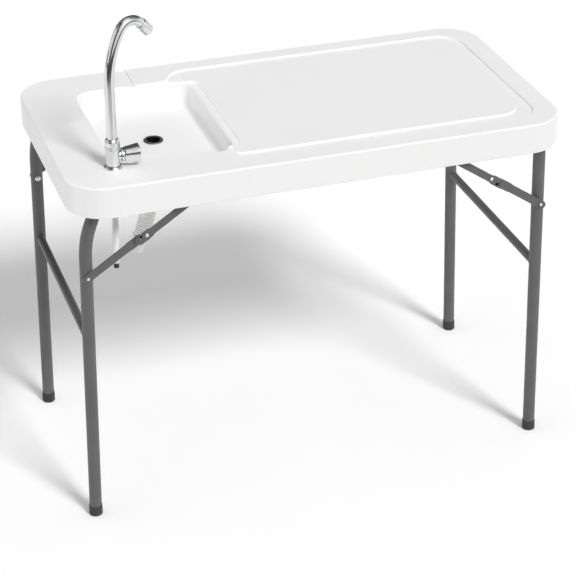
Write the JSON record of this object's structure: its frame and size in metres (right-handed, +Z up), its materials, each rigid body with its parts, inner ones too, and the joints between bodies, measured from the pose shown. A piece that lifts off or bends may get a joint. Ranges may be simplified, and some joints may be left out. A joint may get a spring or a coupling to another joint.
{
  "type": "fish cleaning table",
  "caption": "Folding fish cleaning table: white moulded top with sink, run-off channel and cutting surface, gooseneck faucet, drain hose and folding steel leg frames.",
  "frame": {"origin": "on the floor under the centre of the worktop", "axes": "+X along the length towards the end away from the sink, +Y towards the rear, +Z up"},
  "size_m": [1.156, 0.602, 1.1951],
  "materials": {
    "top_plastic": "satin moulded polyethylene with a fine pebble texture",
    "frame_steel": "grey powder coat",
    "zinc": "zinc plated",
    "cap_rubber": "matt moulded rubber",
    "chrome": "polished",
    "hose_white": "smooth flexible plastic",
    "fitting_white": "smooth moulded plastic",
    "drain_metal": "satin",
    "brass": "machined",
    "seal_rubber": "matt"
  },
  "bodies": {
    "table": {"tabletop": "top_plastic", "drain_flange": "drain_metal", "drain_lock_nut": "fitting_white", "drain_hose": "hose_white", "drain_hose_cuff": "hose_white", "faucet_flange": "chrome", "faucet_body": "chrome", "spout_nut": "chrome", "handle_bonnet": "chrome", "faucet_washer": "seal_rubber", "faucet_lock_nut": "brass", "supply_hose": "hose_white", "hose_connector": "cap_rubber", "right_front_pivot_strap": "frame_steel", "right_front_stay_bracket": "frame_steel", "right_front_bracket_rivet": "zinc", "right_rear_pivot_strap": "frame_steel", "right_rear_stay_bracket": "frame_steel", "right_rear_bracket_rivet": "zinc", "left_front_pivot_strap": "frame_steel", "left_front_stay_bracket": "frame_steel", "left_front_bracket_rivet": "zinc", "left_rear_pivot_strap": "frame_steel", "left_rear_stay_bracket": "frame_steel", "left_rear_bracket_rivet": "zinc"},
    "spout": {"spout": "chrome", "aerator": "chrome"},
    "handle": {"faucet_handle": "chrome"},
    "right_frame": {"right_pivot_bar": "frame_steel", "right_crossbar": "frame_steel", "right_front_leg": "frame_steel", "right_front_foot_cap": "cap_rubber", "right_front_leg_rivet": "zinc", "right_rear_leg": "frame_steel", "right_rear_foot_cap": "cap_rubber", "right_rear_leg_rivet": "zinc"},
    "right_front_stay_lower": {"right_front_stay_lower": "frame_steel"},
    "right_front_stay_upper": {"right_front_stay_upper": "frame_steel", "right_front_knee_rivet": "zinc"},
    "right_rear_stay_lower": {"right_rear_stay_lower": "frame_steel"},
    "right_rear_stay_upper": {"right_rear_stay_upper": "frame_steel", "right_rear_knee_rivet": "zinc"},
    "left_frame": {"left_pivot_bar": "frame_steel", "left_crossbar": "frame_steel", "left_front_leg": "frame_steel", "left_front_foot_cap": "cap_rubber", "left_front_leg_rivet": "zinc", "left_rear_leg": "frame_steel", "left_rear_foot_cap": "cap_rubber", "left_rear_leg_rivet": "zinc"},
    "left_front_stay_lower": {"left_front_stay_lower": "frame_steel"},
    "left_front_stay_upper": {"left_front_stay_upper": "frame_steel", "left_front_knee_rivet": "zinc"},
    "left_rear_stay_lower": {"left_rear_stay_lower": "frame_steel"},
    "left_rear_stay_upper": {"left_rear_stay_upper": "frame_steel", "left_rear_knee_rivet": "zinc"}
  },
  "joints": [
    {"name": "right_frame_fold", "type": "hinge", "parent": "table", "child": "right_frame", "pos_m": [0.5253, 0, 0.832], "axis": [0, 1, 0], "range_deg": [0, 91.89]},
    {"name": "right_front_stay_lower_pivot", "type": "hinge", "parent": "right_frame", "child": "right_front_stay_lower", "pos_m": [0.53159, -0.2711, 0.641], "axis": [0, 1, 0], "range_deg": [0, 53.98]},
    {"name": "right_front_stay_upper_pivot", "type": "hinge", "parent": "table", "child": "right_front_stay_upper", "pos_m": [0.25, -0.2779, 0.832], "axis": [0, -1, 0], "range_deg": [0, 34.17]},
    {"name": "right_rear_stay_lower_pivot", "type": "hinge", "parent": "right_frame", "child": "right_rear_stay_lower", "pos_m": [0.53159, 0.2711, 0.641], "axis": [0, 1, 0], "range_deg": [0, 53.98]},
    {"name": "right_rear_stay_upper_pivot", "type": "hinge", "parent": "table", "child": "right_rear_stay_upper", "pos_m": [0.25, 0.2779, 0.832], "axis": [0, -1, 0], "range_deg": [0, 34.17]},
    {"name": "left_frame_fold", "type": "hinge", "parent": "table", "child": "left_frame", "pos_m": [-0.508, 0, 0.832], "axis": [0, -1, 0], "range_deg": [0, 91.01]},
    {"name": "left_front_stay_lower_pivot", "type": "hinge", "parent": "left_frame", "child": "left_front_stay_lower", "pos_m": [-0.54777, -0.2711, 0.638], "axis": [0, -1, 0], "range_deg": [0, 55.59]},
    {"name": "left_front_stay_upper_pivot", "type": "hinge", "parent": "table", "child": "left_front_stay_upper", "pos_m": [-0.309, -0.2779, 0.79565], "axis": [0, 1, 0], "range_deg": [0, 33.44]},
    {"name": "left_rear_stay_lower_pivot", "type": "hinge", "parent": "left_frame", "child": "left_rear_stay_lower", "pos_m": [-0.54777, 0.2711, 0.638], "axis": [0, -1, 0], "range_deg": [0, 55.59]},
    {"name": "left_rear_stay_upper_pivot", "type": "hinge", "parent": "table", "child": "left_rear_stay_upper", "pos_m": [-0.309, 0.2779, 0.79565], "axis": [0, 1, 0], "range_deg": [0, 33.44]},
    {"name": "spout_swivel", "type": "hinge", "parent": "table", "child": "spout", "pos_m": [-0.4635, -0.204, 0.92], "axis": [0, 0, 1], "continuous": true},
    {"name": "faucet_handle_turn", "type": "hinge", "parent": "table", "child": "handle", "pos_m": [-0.42, -0.204, 0.89], "axis": [1, 0, 0], "range_deg": [0, 90]}
  ],
  "couplings": [
    {"joint": "right_front_stay_lower_pivot", "follows": "right_frame_fold", "ratio": 0.5873},
    {"joint": "right_front_stay_upper_pivot", "follows": "right_frame_fold", "ratio": 0.37165},
    {"joint": "right_rear_stay_lower_pivot", "follows": "right_frame_fold", "ratio": 0.5873},
    {"joint": "right_rear_stay_upper_pivot", "follows": "right_frame_fold", "ratio": 0.37165},
    {"joint": "left_front_stay_lower_pivot", "follows": "left_frame_fold", "ratio": 0.61063},
    {"joint": "left_front_stay_upper_pivot", "follows": "left_frame_fold", "ratio": 0.36722},
    {"joint": "left_rear_stay_lower_pivot", "follows": "left_frame_fold", "ratio": 0.61063},
    {"joint": "left_rear_stay_upper_pivot", "follows": "left_frame_fold", "ratio": 0.36722}
  ]
}
